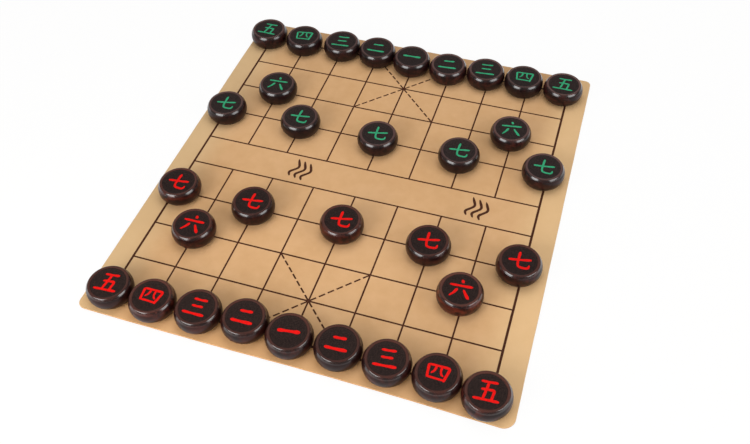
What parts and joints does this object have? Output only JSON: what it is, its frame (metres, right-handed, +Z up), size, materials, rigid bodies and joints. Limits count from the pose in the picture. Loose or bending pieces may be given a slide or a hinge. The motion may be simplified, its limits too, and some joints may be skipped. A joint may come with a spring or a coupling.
{
  "type": "xiangqi set",
  "caption": "Xiangqi set: a thin leather mat printed with the board, and turned dark wooden discs with a raised rim, standing in their starting places and lifting off one by one.",
  "frame": {"origin": "middle of the mat's underside, on the table", "axes": "+Z up, +X to the red player's right, +Y from the red side of the board to the green side"},
  "size_m": [0.4502, 0.4989, 0.0219],
  "materials": {
    "backing": "brushed suede",
    "leather": "matte, fine grain",
    "ink": "dark brown print, matte",
    "red_side_wood": "polished dark blackwood",
    "green_side_wood": "polished dark blackwood",
    "red_paint": "enamel paint in carved strokes",
    "green_paint": "enamel paint in carved strokes"
  },
  "bodies": {
    "mat": {"mat_backing": "backing", "mat_face": "leather", "printed_grid": "ink", "printed_palaces": "ink"},
    "red_chariot_left": {"red_chariot_left": "red_side_wood"},
    "red_horse_left": {"red_horse_left": "red_side_wood"},
    "red_elephant_left": {"red_elephant_left": "red_side_wood"},
    "red_advisor_left": {"red_advisor_left": "red_side_wood"},
    "red_general": {"red_general": "red_side_wood"},
    "red_advisor_right": {"red_advisor_right": "red_side_wood"},
    "red_elephant_right": {"red_elephant_right": "red_side_wood"},
    "red_horse_right": {"red_horse_right": "red_side_wood"},
    "red_chariot_right": {"red_chariot_right": "red_side_wood"},
    "red_cannon_left": {"red_cannon_left": "red_side_wood"},
    "red_cannon_right": {"red_cannon_right": "red_side_wood"},
    "red_soldier_1": {"red_soldier_1": "red_side_wood"},
    "red_soldier_2": {"red_soldier_2": "red_side_wood"},
    "red_soldier_3": {"red_soldier_3": "red_side_wood"},
    "red_soldier_4": {"red_soldier_4": "red_side_wood"},
    "red_soldier_5": {"red_soldier_5": "red_side_wood"},
    "green_chariot_left": {"green_chariot_left": "green_side_wood"},
    "green_horse_left": {"green_horse_left": "green_side_wood"},
    "green_elephant_left": {"green_elephant_left": "green_side_wood"},
    "green_advisor_left": {"green_advisor_left": "green_side_wood"},
    "green_general": {"green_general": "green_side_wood"},
    "green_advisor_right": {"green_advisor_right": "green_side_wood"},
    "green_elephant_right": {"green_elephant_right": "green_side_wood"},
    "green_horse_right": {"green_horse_right": "green_side_wood"},
    "green_chariot_right": {"green_chariot_right": "green_side_wood"},
    "green_cannon_left": {"green_cannon_left": "green_side_wood"},
    "green_cannon_right": {"green_cannon_right": "green_side_wood"},
    "green_soldier_1": {"green_soldier_1": "green_side_wood"},
    "green_soldier_2": {"green_soldier_2": "green_side_wood"},
    "green_soldier_3": {"green_soldier_3": "green_side_wood"},
    "green_soldier_4": {"green_soldier_4": "green_side_wood"},
    "green_soldier_5": {"green_soldier_5": "green_side_wood"}
  },
  "joints": [
    {"name": "red_chariot_left_lift", "type": "slide", "parent": "mat", "child": "red_chariot_left", "axis": [0, 0, 1], "range_m": [0, 0.06]},
    {"name": "red_horse_left_lift", "type": "slide", "parent": "mat", "child": "red_horse_left", "axis": [0, 0, 1], "range_m": [0, 0.06]},
    {"name": "red_elephant_left_lift", "type": "slide", "parent": "mat", "child": "red_elephant_left", "axis": [0, 0, 1], "range_m": [0, 0.06]},
    {"name": "red_advisor_left_lift", "type": "slide", "parent": "mat", "child": "red_advisor_left", "axis": [0, 0, 1], "range_m": [0, 0.06]},
    {"name": "red_general_lift", "type": "slide", "parent": "mat", "child": "red_general", "axis": [0, 0, 1], "range_m": [0, 0.06]},
    {"name": "red_advisor_right_lift", "type": "slide", "parent": "mat", "child": "red_advisor_right", "axis": [0, 0, 1], "range_m": [0, 0.06]},
    {"name": "red_elephant_right_lift", "type": "slide", "parent": "mat", "child": "red_elephant_right", "axis": [0, 0, 1], "range_m": [0, 0.06]},
    {"name": "red_horse_right_lift", "type": "slide", "parent": "mat", "child": "red_horse_right", "axis": [0, 0, 1], "range_m": [0, 0.06]},
    {"name": "red_chariot_right_lift", "type": "slide", "parent": "mat", "child": "red_chariot_right", "axis": [0, 0, 1], "range_m": [0, 0.06]},
    {"name": "red_cannon_left_lift", "type": "slide", "parent": "mat", "child": "red_cannon_left", "axis": [0, 0, 1], "range_m": [0, 0.06]},
    {"name": "red_cannon_right_lift", "type": "slide", "parent": "mat", "child": "red_cannon_right", "axis": [0, 0, 1], "range_m": [0, 0.06]},
    {"name": "red_soldier_1_lift", "type": "slide", "parent": "mat", "child": "red_soldier_1", "axis": [0, 0, 1], "range_m": [0, 0.06]},
    {"name": "red_soldier_2_lift", "type": "slide", "parent": "mat", "child": "red_soldier_2", "axis": [0, 0, 1], "range_m": [0, 0.06]},
    {"name": "red_soldier_3_lift", "type": "slide", "parent": "mat", "child": "red_soldier_3", "axis": [0, 0, 1], "range_m": [0, 0.06]},
    {"name": "red_soldier_4_lift", "type": "slide", "parent": "mat", "child": "red_soldier_4", "axis": [0, 0, 1], "range_m": [0, 0.06]},
    {"name": "red_soldier_5_lift", "type": "slide", "parent": "mat", "child": "red_soldier_5", "axis": [0, 0, 1], "range_m": [0, 0.06]},
    {"name": "green_chariot_left_lift", "type": "slide", "parent": "mat", "child": "green_chariot_left", "axis": [0, 0, 1], "range_m": [0, 0.06]},
    {"name": "green_horse_left_lift", "type": "slide", "parent": "mat", "child": "green_horse_left", "axis": [0, 0, 1], "range_m": [0, 0.06]},
    {"name": "green_elephant_left_lift", "type": "slide", "parent": "mat", "child": "green_elephant_left", "axis": [0, 0, 1], "range_m": [0, 0.06]},
    {"name": "green_advisor_left_lift", "type": "slide", "parent": "mat", "child": "green_advisor_left", "axis": [0, 0, 1], "range_m": [0, 0.06]},
    {"name": "green_general_lift", "type": "slide", "parent": "mat", "child": "green_general", "axis": [0, 0, 1], "range_m": [0, 0.06]},
    {"name": "green_advisor_right_lift", "type": "slide", "parent": "mat", "child": "green_advisor_right", "axis": [0, 0, 1], "range_m": [0, 0.06]},
    {"name": "green_elephant_right_lift", "type": "slide", "parent": "mat", "child": "green_elephant_right", "axis": [0, 0, 1], "range_m": [0, 0.06]},
    {"name": "green_horse_right_lift", "type": "slide", "parent": "mat", "child": "green_horse_right", "axis": [0, 0, 1], "range_m": [0, 0.06]},
    {"name": "green_chariot_right_lift", "type": "slide", "parent": "mat", "child": "green_chariot_right", "axis": [0, 0, 1], "range_m": [0, 0.06]},
    {"name": "green_cannon_left_lift", "type": "slide", "parent": "mat", "child": "green_cannon_left", "axis": [0, 0, 1], "range_m": [0, 0.06]},
    {"name": "green_cannon_right_lift", "type": "slide", "parent": "mat", "child": "green_cannon_right", "axis": [0, 0, 1], "range_m": [0, 0.06]},
    {"name": "green_soldier_1_lift", "type": "slide", "parent": "mat", "child": "green_soldier_1", "axis": [0, 0, 1], "range_m": [0, 0.06]},
    {"name": "green_soldier_2_lift", "type": "slide", "parent": "mat", "child": "green_soldier_2", "axis": [0, 0, 1], "range_m": [0, 0.06]},
    {"name": "green_soldier_3_lift", "type": "slide", "parent": "mat", "child": "green_soldier_3", "axis": [0, 0, 1], "range_m": [0, 0.06]},
    {"name": "green_soldier_4_lift", "type": "slide", "parent": "mat", "child": "green_soldier_4", "axis": [0, 0, 1], "range_m": [0, 0.06]},
    {"name": "green_soldier_5_lift", "type": "slide", "parent": "mat", "child": "green_soldier_5", "axis": [0, 0, 1], "range_m": [0, 0.06]}
  ]
}
